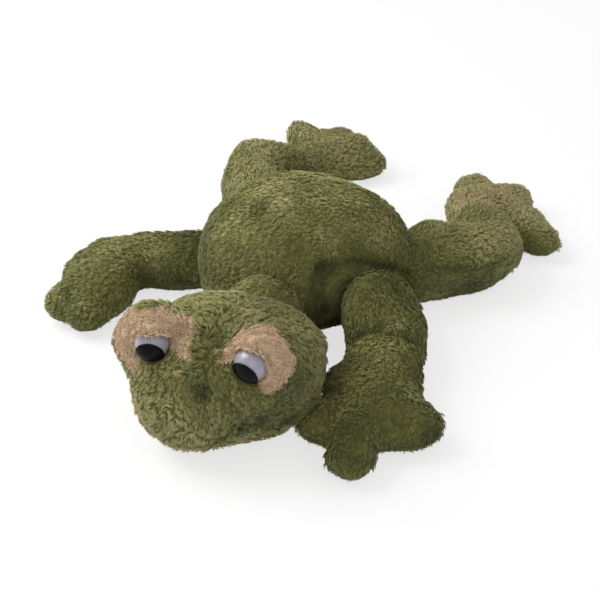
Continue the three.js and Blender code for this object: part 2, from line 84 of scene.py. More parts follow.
def unit(vectors):
    length = np.linalg.norm(vectors, axis=-1, keepdims=True)
    return vectors / np.maximum(length, 1e-9)


# Eyes

eyeLook = {
    "moundAcross": 0.031, "moundForward": 0.0224, "moundRise": 0.0263,
    "rise": 0.003, "droop": 8, "inward": 14, "proud": 0.0155, "sides": 64, "arcSteps": 40,
    "radius": 0.009, "back": 0.002, "shankRadius": 0.002, "shankLength": 0.011,
    "pupilRadius": 0.0071, "pupilDrop": 20, "pupilThickness": 0.0009, "pupilSteps": 14, "pupilRounding": 0.94,
    "gap": 0.0003, "seat": 0.00015, "clothGap": 0.0007, "clothBack": 0.0006, "frontSlack": 0.0005,
    "hoods": {"left": 0.0070, "right": 0.0056},
}
# the ribs on an eye's shank that its washer grips
ribLook = {"count": 3, "spacing": 0.002, "above": 0.0002, "proud": 0.00045, "below": 0.001}


def eyeAxes(side, droop):
    # columns: across, up and out of the eye
    local = turning(-side * eyeLook["inward"], droop)
    return headAxes @ np.stack([local[:, 0], local[:, 2], -local[:, 1]], axis=1)


def eyeCentre(side):
    look = eyeLook
    out = eyeAxes(side, look["droop"])[:, 2]
    mound = fromHead((side * look["moundAcross"], -look["moundForward"], look["moundRise"] + look["rise"]))[0]
    return mound + out * look["proud"]


eyes = {}
for name, side in limbSides.items():
    axes = eyeAxes(side, eyeLook["droop"])
    eyes[name] = {
        "centre": eyeCentre(side), "across": axes[:, 0] * side, "up": axes[:, 1], "out": axes[:, 2],
        "hood": eyeLook["hoods"][name],
    }
    print("eye", name, eyes[name]["centre"].round(4), eyes[name]["out"].round(3))


# Materials

def newMaterial(name):
    material = bpy.data.materials.new(name)
    material.use_nodes = True
    return material, material.node_tree, material.node_tree.nodes["Principled BSDF"]


def setInputs(node, values):
    for name, value in values.items():
        node.inputs[name].default_value = value


def addRamp(tree, source, stops):
    ramp = tree.nodes.new("ShaderNodeValToRGB")
    while len(ramp.color_ramp.elements) < len(stops):
        ramp.color_ramp.elements.new(0.5)
    for element, (place, colour) in zip(ramp.color_ramp.elements, stops):
        element.position = place
        element.color = (*colour, 1)
    tree.links.new(source, ramp.inputs["Fac"])
    return ramp.outputs["Color"]


def addNoise(tree, scale, detail):
    # noise that is fixed to the object
    place = tree.nodes.new("ShaderNodeTexCoord")
    cloud = tree.nodes.new("ShaderNodeTexNoise")
    setInputs(cloud, {"Scale": scale, "Detail": detail})
    tree.links.new(place.outputs["Object"], cloud.inputs["Vector"])
    return cloud.outputs["Fac"]


def pileMaterial(name, stops, rootShade):
    # across the map lie the tints of the pile, and up it each fibre from its root to its tip
    material, tree, shader = newMaterial(name)
    place = tree.nodes.new("ShaderNodeUVMap")
    place.uv_map = "OFBake"
    split = tree.nodes.new("ShaderNodeSeparateXYZ")
    tree.links.new(place.outputs["UV"], split.inputs["Vector"])
    tint = addRamp(tree, split.outputs["X"], stops)
    shade = addRamp(tree, split.outputs["Y"], [(0, (rootShade,) * 3), (0.5, (0.84,) * 3), (1, (1, 1, 1))])
    mix = tree.nodes.new("ShaderNodeMix")
    mix.data_type = "RGBA"
    mix.blend_type = "MULTIPLY"
    mix.inputs["Factor"].default_value = 1
    tree.links.new(tint, mix.inputs["A"])
    tree.links.new(shade, mix.inputs["B"])
    tree.links.new(mix.outputs["Result"], shader.inputs["Base Color"])
    setInputs(shader, {
        "Roughness": 0.72, "Specular IOR Level": 0.25, "Sheen Weight": 0.15, "Sheen Roughness": 0.5,
    })
    return material


def clothMaterial(name, dark, light):
    material, tree, shader = newMaterial(name)
    colour = addRamp(tree, addNoise(tree, 60, 6), [(0.3, dark), (0.7, light)])
    tree.links.new(colour, shader.inputs["Base Color"])
    bump = tree.nodes.new("ShaderNodeBump")
    setInputs(bump, {"Distance": 0.0006, "Strength": 0.8})
    tree.links.new(addNoise(tree, 900, 3), bump.inputs["Height"])
    tree.links.new(bump.outputs["Normal"], shader.inputs["Normal"])
    setInputs(shader, {"Roughness": 0.9, "Specular IOR Level": 0.15})
    return material


def plasticMaterial(name, dark, light, roughness, coat):
    material, tree, shader = newMaterial(name)
    colour = addRamp(tree, addNoise(tree, 180, 4), [(0.35, dark), (0.65, light)])
    tree.links.new(colour, shader.inputs["Base Color"])
    setInputs(shader, {
        "Roughness": roughness, "Coat Weight": coat, "Coat Roughness": 0.06,
        "Specular IOR Level": 0.5 if coat else 0.06,
    })
    return material


greenStops = [
    (0.0, (0.04, 0.05, 0.01)),
    (0.22, (0.115, 0.13, 0.026)),
    (0.45, (0.24, 0.245, 0.064)),
    (0.68, (0.4, 0.375, 0.13)),
    (0.85, (0.53, 0.475, 0.2)),
    (1.0, (0.6, 0.48, 0.235)),
]
paleStops = [
    (0.0, (0.52, 0.35, 0.195)),
    (0.35, (0.76, 0.545, 0.345)),
    (0.7, (0.9, 0.68, 0.465)),
    (1.0, (0.95, 0.78, 0.59)),
]
materials = {
    "green_plush": pileMaterial("greenPile", greenStops, 0.6),
    "chin_plush": pileMaterial("chinPile", greenStops, 0.6),
    "pale_plush": pileMaterial("palePile", paleStops, 0.85),
    "greenCloth": clothMaterial("greenCloth", (0.09, 0.095, 0.024), (0.16, 0.155, 0.046)),
    "chinCloth": clothMaterial("chinCloth", (0.12, 0.112, 0.036), (0.2, 0.18, 0.066)),
    "paleCloth": clothMaterial("paleCloth", (0.42, 0.3, 0.19), (0.56, 0.41, 0.27)),
    "eyeWhite": plasticMaterial("eyeWhite", (0.27, 0.26, 0.305), (0.315, 0.3, 0.35), 0.25, 0.3),
    "pupilBlack": plasticMaterial("pupilBlack", (0.004, 0.004, 0.005), (0.007, 0.006, 0.007), 0.13, 0.0),
    "washerPlastic": plasticMaterial("washerPlastic", (0.62, 0.6, 0.54), (0.72, 0.7, 0.64), 0.45, 0.0),
}
clothOf = {"green_plush": "greenCloth", "chin_plush": "chinCloth", "pale_plush": "paleCloth"}
print("materials made")


# The skins: a closed bag of cloth each for the torso, neck, head and limbs, stuffed and cut into panels

# falloff and outOfReach are for shifts of the stuffing, and probe is how deep another bag is looked for
skinLook = {
    "voxel": 0.0034, "inset": 0.0007, "evenRounds": 8, "evenAmount": 0.5, "pressure": 4, "frames": 20,
    "reach": 0.0018, "floor": 0.0006, "swell": 0.0024, "smoothRounds": 2, "smoothAmount": 0.4,
    "falloff": 1.2, "outOfReach": 9, "probe": 0.03,
}


def readAll(things, name, width, kind):
    values = np.empty(len(things) * width, kind)
    things.foreach_get(name, values)
    return values.reshape(-1, width)


def readPoints(mesh):
    return readAll(mesh.vertices, "co", 3, np.float32).astype(float)


def setPoints(mesh, points):
    mesh.vertices.foreach_set("co", points.astype(np.float32).ravel())
    mesh.update()


def vertexNormals(mesh):
    return readAll(mesh.vertex_normals, "vector", 3, np.float32).astype(float)


def addObject(name, mesh, material):
    thing = bpy.data.objects.new(name, mesh)
    bpy.context.scene.collection.objects.link(thing)
    if material:
        mesh.materials.append(materials[material])
    return thing


def joinNodes(names):
    # the corners and faces of several nodes, and which node each face is from
    corners, faces, owners, start = [], [], [], 0
    for name in names:
        mesh = nodes[name].data
        corners.append(readPoints(mesh))
        faces += [[start + k for k in polygon.vertices] for polygon in mesh.polygons]
        owners += [name] * len(mesh.polygons)
        start += len(mesh.vertices)
    return np.concatenate(corners), faces, owners


def applyModifiers(thing):
    graph = bpy.context.evaluated_depsgraph_get()
    mesh = bpy.data.meshes.new_from_object(thing.evaluated_get(graph))
    thing.modifiers.clear()
    thing.data = mesh


def keepLargest(mesh):
    # a remeshed bag can have loose inner shells, which go
    form = bmesh.new()
    form.from_mesh(mesh)
    left, shells = set(form.verts), []
    while left:
        shell = [left.pop()]
        for corner in shell:
            joined = {edge.other_vert(corner) for edge in corner.link_edges} & left
            left -= joined
            shell += joined
        shells.append(shell)
    shells.sort(key=len)
    extra = [corner for shell in shells[:-1] for corner in shell]
    bmesh.ops.delete(form, geom=extra, context="VERTS")
    form.to_mesh(mesh)
    form.free()


def relax(points, pairs, rounds, amount):
    # each corner moves towards the mean of its neighbours
    ends = np.concatenate([pairs, pairs[:, ::-1]])
    count = np.maximum(np.bincount(ends[:, 0], minlength=len(points)), 1)[:, None]
    for _ in range(rounds):
        sums = [np.bincount(ends[:, 0], points[ends[:, 1], k], len(points)) for k in range(3)]
        points = points + (np.stack(sums, axis=1) / count - points) * amount
    return points


def clearEyes(points):
    # cloth that would cover a ball is pushed back round its rim
    for eye in eyes.values():
        away = points - eye["centre"]
        height = away @ eye["out"]
        aside = away - height[:, None] * eye["out"]
        radius = eyeLook["radius"] + eyeLook["clothGap"]
        near = np.linalg.norm(away, axis=1) < radius
        hooded = away @ eye["up"] > eye["hood"]
        front = near & (height > -eyeLook["frontSlack"]) & ~hooded
        points[front] = eye["centre"] + unit(aside[front]) * radius - eye["out"] * eyeLook["clothBack"]
        behind = near & ~front
        points[behind] = eye["centre"] + unit(away[behind]) * radius
    return points


def settle(points):
    # puts the skin's corners where they belong, clear of the eyes and of the floor
    points = clearEyes(points)
    points[:, 2] = np.maximum(points[:, 2], skinLook["floor"])
    setPoints(skin.data, points)
    return points


def bagOf(node):
    for name in limbSides:
        for bag, starts in (("Arm", ("_upper_arm", "_hand")), ("Leg", ("_thigh", "_shin", "_foot"))):
            if node.startswith(tuple(name + start for start in starts)):
                return name + bag
    return "head" if node.endswith("_patch") else node.split("_")[0]


softNodes = [name for name in nodes if name.endswith(("_cover", "_stuffing", "_patch"))]
bags = sorted({bagOf(node) for node in softNodes})
bagPoints, bagFaces, bagNumbers, cornerCount = [], [], [], 0
for number, bag in enumerate(bags):
    corners, faces, owners = joinNodes([node for node in softNodes if bagOf(node) == bag])
    mesh = bpy.data.meshes.new(bag + "Bag")
    mesh.from_pydata(corners.tolist(), [], faces)
    piece = addObject(bag + "Bag", mesh, None)
    remesh = piece.modifiers.new("even", "REMESH")
    remesh.mode = "VOXEL"
    remesh.voxel_size = skinLook["voxel"]
    applyModifiers(piece)
    keepLargest(piece.data)
    bagPoints.append(readPoints(piece.data))
    bagFaces += [[cornerCount + k for k in polygon.vertices] for polygon in piece.data.polygons]
    bagNumbers += [number] * len(piece.data.polygons)
    cornerCount += len(bagPoints[-1])
    bpy.data.objects.remove(piece)
mesh = bpy.data.meshes.new("wholeSkin")
mesh.from_pydata(np.concatenate(bagPoints).tolist(), [], bagFaces)
for bag in bags:
    mesh.materials.append(None)
mesh.polygons.foreach_set("material_index", bagNumbers)
skin = addObject("wholeSkin", mesh, None)
pairs = readAll(skin.data.edges, "vertices", 2, np.int32)
start = relax(readPoints(skin.data), pairs, skinLook["evenRounds"], skinLook["evenAmount"])
setPoints(skin.data, start)
start = start - vertexNormals(skin.data) * skinLook["inset"]
setPoints(skin.data, start)
print("skins remeshed", bags, len(start))

outward = vertexNormals(skin.data)
moved = np.zeros_like(start)
cloth = skin.modifiers.new("stuffed", "CLOTH")
settings = cloth.settings
settings.quality = 4
settings.mass = 0.3
settings.tension_stiffness = 12
settings.compression_stiffness = 12
settings.shear_stiffness = 6
settings.bending_stiffness = 0.4
settings.use_pressure = True
settings.uniform_pressure_force = skinLook["pressure"]
settings.shrink_min = -0.03
settings.effector_weights.gravity = 0
cloth.collision_settings.use_collision = False
cloth.point_cache.frame_end = skinLook["frames"]
for number in range(1, skinLook["frames"] + 1):
    bpy.context.scene.frame_set(number)
applyModifiers(skin)
moved = readPoints(skin.data) - start
bpy.context.scene.frame_set(1)
length = np.linalg.norm(moved, axis=1, keepdims=True)
print("skin moved by", float(length.max()), float(np.median(length)))
moved *= skinLook["reach"] * np.tanh(length / skinLook["reach"]) / np.maximum(length, 1e-9)
moved -= outward * np.sum(moved * outward, axis=1).mean()
swollen = start + moved + outward * skinLook["swell"]
swollen = relax(swollen, pairs, skinLook["smoothRounds"], skinLook["smoothAmount"])
setPoints(skin.data, swollen)
division = skin.modifiers.new("finer", "SUBSURF")
division.levels = 1
applyModifiers(skin)
points = settle(readPoints(skin.data))


# How the stuffing has shifted, in mm: whose axes or which bag, the place, how far round it the cloth gives,
# and the way that it goes. A bag's name keeps the shift to that bag.
stuffingShifts = {
    "cheekRight": ("headAxes", (-26, -42, -18), 26, (-1.6, -1.4, -1)),
    "chinRight": ("headAxes", (-8, -38, -26), 20, (-0.5, -3.6, -2.4)),
    "jawLeft": ("headAxes", (30, -38, -24), 24, (-3, 5.4, 3)),
    "browRight": ("headAxes", (-45, -28, 18), 15, (-5, -2.4, -2)),
    "sideRight": ("headAxes", (-48, -26, -6), 13, (6, 2, 0)),
    "browDent": ("headAxes", (6.6, -47.4, 9.5), 4.5, (0, 2.8, -0.8)),
    "mouthCorner": ("headAxes", (34, -38, -5), 4.5, (-1.6, 1.8, 0.4)),
    "hoodRight": ("rightEye", (0, 12, -5), 10, (0, -2, 8)),
    "hoodLeft": ("leftEye", (-2, 12, -5), 10, (0, -0.6, 4.5)),
    "armpit": ("frame", (41, -36, 58), 8, (-2.2, 1.4, -3.6)),
    "shoulderLeft": ("leftArm", (62, -24, 42), 18, (4, -5, 8)),
    "armTopLeft": ("leftArm", (60, -38, 34), 12, (1, -5, 3.5)),
    "bellySideLeft": ("torso", (45, -29, 14), 14, (-5, 6.2, 7.6)),
    "elbowInner": ("frame", (73, -69, 14), 14, (-8, -3.4, 0)),
    "elbowOuter": ("frame", (104, -34, 14), 18, (4.2, 2.6, 0)),
    "fingerLeft": ("frame", (110, -113, 12), 20, (1.2, -8, 0)),
    "fingerOuter": ("frame", (120, -88, 10), 15, (-1, -8.6, 0)),
    "upperArmRight": ("frame", (-86, -30, 34), 24, (0, -2.4, -3.6)),
    "neckRight": ("frame", (-44, -48, 16), 15, (3, -7, -1)),
    "elbowRight": ("frame", (-124, -52, 28), 15, (-3.4, 4.4, 5)),
    "handRightSide": ("frame", (-128, -70, 20), 12, (2.5, 1.7, 0)),
    "handRightTip": ("frame", (-82, -105, 13), 15, (-1.8, 2.8, 1)),
    "thighRightSide": ("frame", (-95, 58, 32), 17, (7, 3.6, 0)),
    "kneeRightTop": ("frame", (-101, 92, 36), 20, (-3, 4, 4)),
    "toesRight": ("frame", (-86, 168, 14), 26, (-3.4, 6, 1.6)),
    "toeRightInner": ("frame", (-116, 160, 18), 14, (-6.4, 6.4, 4)),
    "toeRightOuter": ("frame", (-66, 168, 20), 13, (-1.6, 4, 3.6)),
    "footRightUnder": ("frame", (-56, 150, 10), 15, (4.2, -6, -1)),
    "thighLeftTop": ("frame", (52, 57, 43), 17, (-2.6, 3.6, 5)),
    "kneeLeftSide": ("frame", (100, 82, 16), 18, (-4.6, 2.2, 0)),
    "thighLeftSide": ("frame", (84, 54, 12), 16, (-4.2, 3.2, 0)),
    "heelLeft": ("frame", (42, 140, 18), 20, (-7, -3.2, 1)),
    "toeLeft": ("frame", (97, 134, 12), 16, (3.2, -3, 0)),
    "toeLeftOuter": ("frame", (103, 138, 12), 13, (4, 1.6, 0)),
    "toeGapLeft": ("frame", (80, 164, 14), 13, (10.5, 9.5, 2.6)),
    "armRootLeft": ("leftArm", (66, -6, 38), 16, (-1, 3, 9)),
    "handInner": ("frame", (79, -111, 10), 12, (-4, -3, 0)),
    "ankleLeft": ("frame", (46, 158, 18), 14, (-5, -1.2, 1)),
    "kneeRightBack": ("frame", (-108, 82, 36), 12, (-3, 3, 3)),
    "armFoldLeft": ("leftArm", (56, -20, 40), 13, (-4, -2, 11)),
    "shinLeftTop": ("frame", (62, 100, 36), 16, (-1.6, 1, 5)),
    "heelLeftRound": ("frame", (44, 128, 26), 14, (-2.5, -0.5, 2)),
    "armOuterTop": ("leftArm", (88, -8, 20), 16, (2, 1.6, 1)),
    "sideUnderArm": ("torso", (53, -28, 42), 11, (-4, 2.4, 0)),
    "heelLeftBack": ("frame", (27, 145, 18), 14, (-2, -0.6, 2.4)),
    "toeLeftTop": ("frame", (32, 176, 14), 14, (-1.5, 3, 2)),
    "backLeft": ("headAxes", (40, 36, 8), 10, (3, 2.4, 0)),
    "armInnerTop": ("leftArm", (55, -31, 34), 15, (-8, -6, 7)),
    "armInner": ("leftArm", (66, -52, 20), 12, (-3, -1.6, 0)),
    "wristInner": ("leftArm", (70, -80, 12), 12, (-6, -2, 0)),
    "shinLeftBack": ("leftLeg", (45, 100, 32), 13, (-4, 3.4, 4.4)),
    "footLeftTop": ("leftLeg", (66, 124, 28), 13, (0, 0, 4)),
    "browLeft": ("headAxes", (48, -26, -16), 14, (-2.4, 1.6, 0)),
    "handLeft": ("leftArm", (120, -92, 10), 28, (1.2, -3, 0)),
    "footRightEnd": ("rightLeg", (-36, 162, 14), 14, (2.8, -1, 1)),
    "hipRightSide": ("rightLeg", (-84, 24, 26), 14, (4.5, 1.6, -1)),
    "handOuter": ("leftArm", (132, -60, 12), 10, (1.6, 1.4, 0)),
    "fingerMiddleRight": ("leftArm", (122, -104, 10), 9, (1.4, -1.4, 0)),
    "fingerMiddleLeft": ("leftArm", (101, -119, 10), 9, (-1.2, -0.4, 0)),
    "toeRightDip": ("rightLeg", (-56, 176, 16), 9, (0.8, -4, -1.6)),
    "toeRightMiddle": ("rightLeg", (-74, 178, 18), 10, (-1, 3.6, 3.6)),
    "heelLeftTop": ("leftLeg", (20, 158, 16), 11, (-3.4, 1, 2)),
    "backDent": ("frame", (-12, -24, 75), 6.5, (0.4, 0.8, -2.6)),
}

# Folds and seams that show in the pile, in mm: whose axes, the width, the depth, how much painted shade
# darkens the pile in it, and the path
folds = {
    "armpitTop": ("frame", 4.2, 3.6, 0.3, [
        (41, -36, 58), (47, -24, 58.3), (50, -17.5, 57.4), (53.7, -10, 54.7), (57.4, -2.4, 50), (59, 9, 42),
        (58, 22, 30),
    ]),
    "armpitFront": ("frame", 5, 4.4, 0.3, [
        (41, -36, 57), (41.4, -39, 53.8), (40.8, -42, 47), (42.4, -42.4, 39.7), (46, -42, 30),
    ]),
    "ankleRight": ("frame", 3, 2.4, 0.26, [
        (-113, 151, 18), (-94.6, 132.8, 25), (-76, 112.5, 31), (-72, 110.3, 23.7),
    ]),
    "legSeamLeft": ("frame", 2.6, 2.0, 0.34, [
        (66.5, 34.5, 33), (73.5, 42, 31.7), (80.4, 48.4, 30), (88.8, 58.4, 28.7), (98, 73.8, 28.4),
    ]),
    "mouth": ("headAxes", 3.0, 2.2, 0.4, [(24.6, -43.7, -7.3), (35.2, -35.7, -10.2), (34.2, -37.9, -4)]),
    "mouthLine": ("headAxes", 2.2, 1.5, 0.3, [
        (12.5, -43, -18), (22, -43.5, -13), (29, -40.6, -11), (34.8, -36, -10.8), (40.7, -28, -12.6),
        (44.6, -20.4, -12.7),
    ]),
    "noseSide": ("headAxes", 2.4, 1.2, 0.24, [(20.7, -45.5, 3.3), (16.8, -45.7, 9.3)]),
    "brow": ("headAxes", 2.6, 1.8, 0.42, [(6.6, -47.4, 9.5), (5.0, -46, 13)]),
    "back": ("frame", 4, 2.2, 0.34, [(-12, -25, 75), (-15, -19, 76)]),
    "elbowLeftUpper": ("frame", 2.4, 1.8, 0.26, [(68, -48, 26), (72, -45, 30), (77, -42, 35), (83, -38, 39)]),
    "elbowLeftLower": ("frame", 2.6, 2.2, 0.3, [(80, -42, 34), (86, -39, 34), (92, -35, 32), (98, -30, 28)]),
    "fingersRight": ("frame", 2.4, 1.4, 0.2, [(-104, -96, 24), (-99.5, -99, 19.4), (-87, -109, 16.8)]),
}


def foldDistance(points, path):
    nearest = np.full(len(points), 1.0)
    for start, end in zip(path, path[1:]):
        along = end - start
        passed = np.clip((points - start) @ along / (along @ along), 0, 1)
        nearest = np.minimum(nearest, np.linalg.norm(points - start - passed[:, None] * along, axis=1))
    return nearest


def foldStrength(points, path, width):
    # 1 in the fold, and less and less beside it
    return np.exp(-(foldDistance(points, path) / width) ** 2)


def shiftStuffing(points):
    moved = points.copy()
    for scope, place, reach, shift in stuffingShifts.values():
        place, shift = np.array(place) / 1000, np.array(shift) / 1000
        if scope == "headAxes":
            place, shift = fromHead(place)[0], headAxes @ shift
        elif scope.endswith("Eye"):
            eye = eyes[scope.removesuffix("Eye")]
            axes = np.stack([eye["across"], eye["up"], eye["out"]], axis=1)
            place, shift = eye["centre"] + axes @ place, axes @ shift
        near = np.linalg.norm(points - place, axis=1) / (reach / 1000)
        if scope in bags:
            near[pointBags != bags.index(scope)] = skinLook["outOfReach"]
        moved += np.exp(-near[:, None] ** 2 * skinLook["falloff"]) * shift
    return moved


faceCorners = readAll(skin.data.polygons, "vertices", 4, np.int32)
faceBags = readAll(skin.data.polygons, "material_index", 1, np.int32).ravel()
pointBags = np.empty(len(points), np.int32)
for corner in range(4):
    pointBags[faceCorners[:, corner]] = faceBags
points = shiftStuffing(points)
laidFolds = []
for scope, width, depth, dark, path in folds.values():
    # the fold's path is laid on the skin
    path = np.array(path, float) / 1000
    if scope == "headAxes":
        path = fromHead(path)
    laid = [points[np.argmin(np.linalg.norm(points - place, axis=1))] for place in path]
    laidFolds.append((laid, width / 1000, depth / 1000, dark))
setPoints(skin.data, points)
normals = vertexNormals(skin.data)
for path, width, depth, dark in laidFolds:
    points = points - normals * (depth * foldStrength(points, path, width))[:, None]
points = settle(points)
print("skin stuffed", len(points))


# Which panel each face of the skin belongs to

limbJoints = ("shoulder", "elbow", "hip", "knee", "ankle")
marks = {name: {joint: jointPlace(f"{name}_{joint}") for joint in limbJoints} for name in limbSides}


def nodeFinder(bag):
    # finds which cover of a bag lies nearest
    covers = [node for node in softNodes if bagOf(node) == bag and not node.endswith("_stuffing")]
    corners, faces, owners = joinNodes(covers)
    return BVHTree.FromPolygons([Vector(point) for point in corners], faces), owners


def share(point, start, end):
    # how far the point is on the way from the start to the end
    along = end - start
    return float((point - start) @ along / (along @ along))


# at each angle round an eye, how far round its mound the pale cloth reaches, in degrees
patchLook = {
    "mound": 0.0155, "from": -64, "to": 187, "widest": {"left": 0.0178, "right": 0.0215},
    "wave": 5, "waves": 5, "ripple": 3, "ripples": 11, "angles": [-90, -40, 0, 45, 90, 135, 190],
    "left": [84, 80, 76, 80, 87, 98, 94], "right": [100, 110, 110, 86, 64, 86, 100],
}


def patchAt(point):
    # the pale cloth is a hood over the top and the outer side of each eye
    look = patchLook
    for name, side in limbSides.items():
        eye = eyes[name]
        away = point - eye["centre"]
        across, up, out = away @ eye["across"], away @ eye["up"], away @ eye["out"]
        angle = math.degrees(math.atan2(up, across))
        if angle < look["angles"][0]:
            angle += 360
        aside = math.hypot(across, up)
        around = math.degrees(math.atan2(aside, out + look["mound"]))
        wave = look["wave"] * math.sin(math.radians(angle) * look["waves"] + side)
        ripple = look["ripple"] * math.sin(math.radians(angle) * look["ripples"])
        reach = np.interp(angle, look["angles"], look[name]) + (wave + ripple)
        if around < reach and aside < look["widest"][name] and look["from"] < angle < look["to"]:
            return name + "Patch"
    return None


# the panels on the near and far half of a limb's cover, and the joints that it lies between
coverHalves = {
    "upper_arm_cover": ("Shoulder", "Hand", "shoulder", "elbow"),
    "hand_cover": ("Hand", "Hand", "shoulder", "elbow"),
    "thigh_cover": ("Hip", "Knee", "hip", "knee"),
    "shin_cover": ("Knee", "Foot", "knee", "ankle"),
    "foot_cover": ("Foot", "Foot", "knee", "ankle"),
}
bodyCovers = {"torso_back_cover": "torsoBack", "torso_belly_cover": "torsoBelly", "neck_cover": "neck"}


def panelOf(node, point):
    if node in bodyCovers:
        return bodyCovers[node]
    name, cover = node.split("_", 1)
    near, far, start, end = coverHalves[cover]
    return name + (near if share(point, marks[name][start], marks[name][end]) < 0.5 else far)


neckMark = jointPlace("neck_turn")
neckWay = unit(np.array(headLook["centre"]) - neckMark)
# how far a blend reaches before its joint and after it
blendReach = {"neck": (0.006, 0.016), "Hand": (0.012, 0.012), "Knee": (0.009, 0.009), "Foot": (0.010, 0.010)}


def blendEnds(kind, place, before, after):
    return {"start": place - before * blendReach[kind][0], "end": place + after * blendReach[kind][1]}


panels = {
    "torsoBack": {"rides": "torso", "slot": "green_plush", "stands": ["torso_back_cover", "torso_stuffing"]},
    "torsoBelly": {"rides": "torso", "slot": "green_plush", "stands": ["torso_belly_cover"]},
    "neck": {
        "blends": ("torso", "neck"), "slot": "green_plush", "stands": ["neck_cover", "neck_stuffing"],
        **blendEnds("neck", neckMark, neckWay, neckWay),
    },
    "headTop": {"rides": "head", "slot": "green_plush", "stands": ["head_top_cover", "head_stuffing"]},
    "headChin": {"rides": "head", "slot": "chin_plush", "stands": ["head_chin_cover"]},
}
for name, mark in marks.items():
    forearm = unit(mark["elbow"] - mark["shoulder"])
    upper = unit(mark["knee"] - mark["hip"])
    lower = unit(mark["ankle"] - mark["knee"])
    panels[name + "Patch"] = {"rides": "head", "slot": "pale_plush", "stands": [name + "_eye_patch"]}
    # the panel, its body, and for a blend the body before it, its joint, and the ways before and after that
    limbPanels = [
        ("Shoulder", "upper_arm"), ("Hand", "hand", "upper_arm", "elbow", forearm, forearm),
        ("Hip", "thigh"), ("Knee", "shin", "thigh", "knee", upper, lower),
        ("Foot", "foot", "shin", "ankle", lower, lower),
    ]
    for kind, part, *bend in limbPanels:
        body = f"{name}_{part}"
        look = {"slot": "green_plush", "stands": [body + "_cover", body + "_stuffing"]}
        if bend:
            look["blends"] = (f"{name}_{bend[0]}", body)
            look.update(blendEnds(kind, mark[bend[1]], *bend[2:]))
        else:
            look["rides"] = body
        panels[name + kind] = look

faceMiddles = points[faceCorners].mean(axis=1)
facePanels = [None] * len(faceMiddles)
faceDepths = np.zeros(len(faceMiddles))
for number, bag in enumerate(bags):
    finder, owners = nodeFinder(bag)
    own = np.flatnonzero(faceBags == number)
    for face in own:
        middle = faceMiddles[face]
        node = owners[finder.find_nearest(Vector(middle))[2]]
        if bag == "head":
            facePanels[face] = patchAt(middle) or ("headChin" if node == "head_chin_cover" else "headTop")
        else:
            facePanels[face] = panelOf(node, middle)
    # how deep the other bags' faces lie inside this one
    used, small = np.unique(faceCorners[own], return_inverse=True)
    solid = BVHTree.FromPolygons([Vector(point) for point in points[used]], small.reshape(-1, 4).tolist())
    for face in np.flatnonzero(faceBags != number):
        place, normal, _, distance = solid.find_nearest(Vector(faceMiddles[face]), skinLook["probe"])
        if place is not None and (Vector(faceMiddles[face]) - place).dot(normal) < 0:
            faceDepths[face] = max(faceDepths[face], distance)
facePanels = np.array(facePanels)
skinNormals = vertexNormals(skin.data)
print("panels found", int((faceDepths > 0).sum()), "faces inside another bag")


def follow(thing, panel):
    look = panels[panel]
    if "rides" in look:
        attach(thing, look["rides"])
    else:
        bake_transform(thing)


for panel, look in panels.items():
    chosen = faceCorners[facePanels == panel]
    used, small = np.unique(chosen, return_inverse=True)
    mesh = bpy.data.meshes.new(panel)
    mesh.from_pydata(points[used].tolist(), [], small.reshape(-1, 4).tolist())
    mesh.shade_smooth()
    piece = addObject(panel, mesh, clothOf[look["slot"]])
    follow(piece, panel)
    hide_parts(*look["stands"])
    print("panel", panel, len(chosen))
bpy.data.objects.remove(skin)


# The pile: clumped fibres combed over the cloth

pileLook = {
    "seed": 7, "perArea": 1.55e6, "underShare": 0.3, "underFacing": -0.3, "lowFacing": -0.2,
    "lowHeight": 0.012, "lowLength": 0.45, "deepest": 0.007, "sunk": 0.0006, "floor": 0.0004,
    "radius": 0.00022, "thinnest": 0.8, "thicker": 0.4, "columns": 64, "mostPerPiece": 33000,
}
# a clump's spacing, how its comb sways and scatters, and how its length and lift vary
clumpLook = {
    "fewest": 8, "spacing": 0.0025, "swayScale": 60, "sway": 1.1, "combScatter": 0.35,
    "lengthScatter": 0.16, "liftScatter": 0.10, "lifts": (0.1, 0.9),
}
# how a fibre differs from its clump, how it bends, and how far its middle and tip are pulled to the clump
fibreLook = {
    "lengthScatter": 0.12, "lengths": (0.55, 1.5), "combScatter": 0.25, "rootLift": 0.25, "tipLift": 0.6,
    "pullScatter": 0.18, "pulls": (0.1, 0.95), "middleSpread": 0.75, "tipSpread": 0.35, "middlePull": 0.6,
    "toneScatter": 0.035,
}
# the longer tuft between the eyes, in the head's axes
tuftLook = {"width": 0.007, "front": -0.047, "above": 0.008, "longer": 0.45, "lift": 0.35}
# how far the pile keeps from an eye
eyePileLook = {
    "offBall": 0.0006, "near": 0.001, "behind": 0.004, "hoodEdge": 0.0015, "overHood": 0.0008,
    "offRim": 0.0006, "rimHeight": 0.001,
}
# per kind of panel: how long the pile is, how far it stands off the cloth and how much it clumps
pileKinds = {
    "torso": {"length": 0.0033, "lift": 0.20, "clumping": 0.40},
    "head": {"length": 0.0038, "lift": 0.25, "clumping": 0.52},
    "arm": {"length": 0.0038, "lift": 0.25, "clumping": 0.52},
    "leg": {"length": 0.0035, "lift": 0.22, "clumping": 0.45},
    "patch": {"length": 0.0028, "lift": 0.20, "clumping": 0.35},
}
kindEndings = {"Patch": "patch", "Shoulder": "arm", "Hand": "arm", "Hip": "leg", "Knee": "leg", "Foot": "leg"}
# which way the pile lies: parted on the head, forwards on the torso and out along the limbs
combLook = {
    "parting": 0.012, "muzzleFrom": 0.025, "muzzleOver": 0.02, "muzzleSide": 0.55, "backward": 0.5,
    "forward": 0.15, "drop": 0.25, "torso": (-0.35, -0.75, -0.25), "halfWidth": 0.06, "torsoSide": 0.6,
    "foot": (0.3, 0.9, 0), "limbDrop": (0, 0, -0.5),
}
chance = np.random.default_rng(pileLook["seed"])


def scatter(amount, shape):
    return amount * chance.standard_normal(shape)


